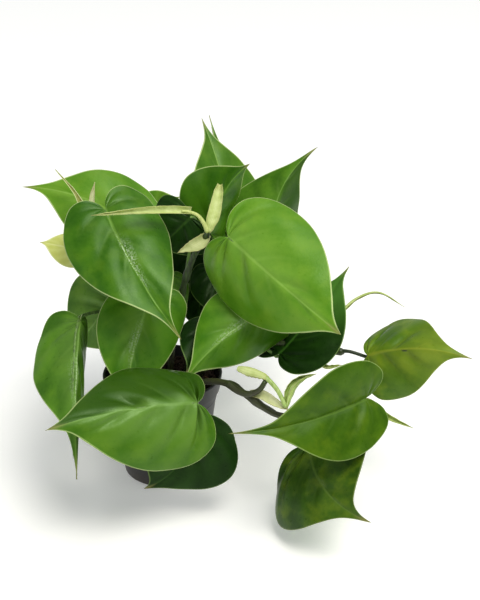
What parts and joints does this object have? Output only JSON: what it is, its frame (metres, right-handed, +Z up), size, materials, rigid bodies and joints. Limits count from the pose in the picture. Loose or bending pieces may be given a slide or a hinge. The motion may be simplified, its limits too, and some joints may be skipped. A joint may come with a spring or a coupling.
{
  "type": "potted heartleaf philodendron",
  "caption": "Trailing house plant with glossy heart-shaped leaves on arching stems and pale new shoots, rooted in soil in a small round tapered nursery pot.",
  "frame": {"origin": "centre of the pot's flat base, on the surface it stands on", "axes": "+Z up along the pot's axis, -Y towards the side the crown leaves face, +X to the right seen from there"},
  "size_m": [0.2671, 0.2494, 0.1943],
  "materials": {
    "leaf_green": "waxy semi-gloss leaf, fresh to deep green, with a light midrib and thin pale margin",
    "leaf_young": "soft satin, pale yellow-green young leaf",
    "stem_green": "smooth satin green stem, browner towards the soil",
    "bract_pale": "thin satin cream-green sheath",
    "pot_plastic": "moulded charcoal polypropylene, low sheen",
    "potting_soil": "dark crumbly peat mix with bark and pale grit"
  },
  "bodies": {
    "root": {"pot": "pot_plastic", "soil": "potting_soil", "stem_back": "stem_green", "stem_back_left": "stem_green", "stem_back_right": "stem_green", "stem_front": "stem_green", "stem_left": "stem_green", "stem_low_right": "stem_green", "stem_middle": "stem_green", "stem_right": "stem_green", "stem_upright": "stem_green", "leaf_back_high": "leaf_green", "leaf_back_left": "leaf_green", "leaf_back_left_high": "leaf_green", "leaf_back_low": "leaf_green", "leaf_back_low_left": "leaf_green", "leaf_back_low_right": "leaf_green", "leaf_back_right": "leaf_green", "leaf_back_right_high": "leaf_green", "leaf_behind_bud": "leaf_green", "leaf_crown_left": "leaf_green", "leaf_crown_right": "leaf_green", "leaf_far_left": "leaf_green", "leaf_far_right": "leaf_green", "leaf_front": "leaf_green", "leaf_front_under": "leaf_green", "leaf_hanging_left": "leaf_green", "leaf_hanging_right": "leaf_green", "leaf_inner_back": "leaf_green", "leaf_inner_low": "leaf_green", "leaf_inner_middle": "leaf_green", "leaf_inner_right": "leaf_green", "leaf_low_right": "leaf_green", "leaf_middle_left": "leaf_green", "leaf_middle_right": "leaf_green", "leaf_shaded_left": "leaf_green", "leaf_shaded_right": "leaf_green", "leaf_top": "leaf_green", "leaf_top_behind": "leaf_green", "leaf_top_front": "leaf_green", "leaf_top_right": "leaf_green", "leaf_tuft": "leaf_green", "leaf_under_left": "leaf_green", "leaf_young_left": "leaf_young", "bract_left_spike": "bract_pale", "bract_left_upright": "bract_pale", "bract_long": "bract_pale", "bract_low_spike": "bract_pale", "bract_right_spike": "bract_pale", "bract_right_stub": "bract_pale", "bract_small": "bract_pale", "bract_upright": "bract_pale", "shoot_young": "bract_pale"}
  },
  "joints": []
}
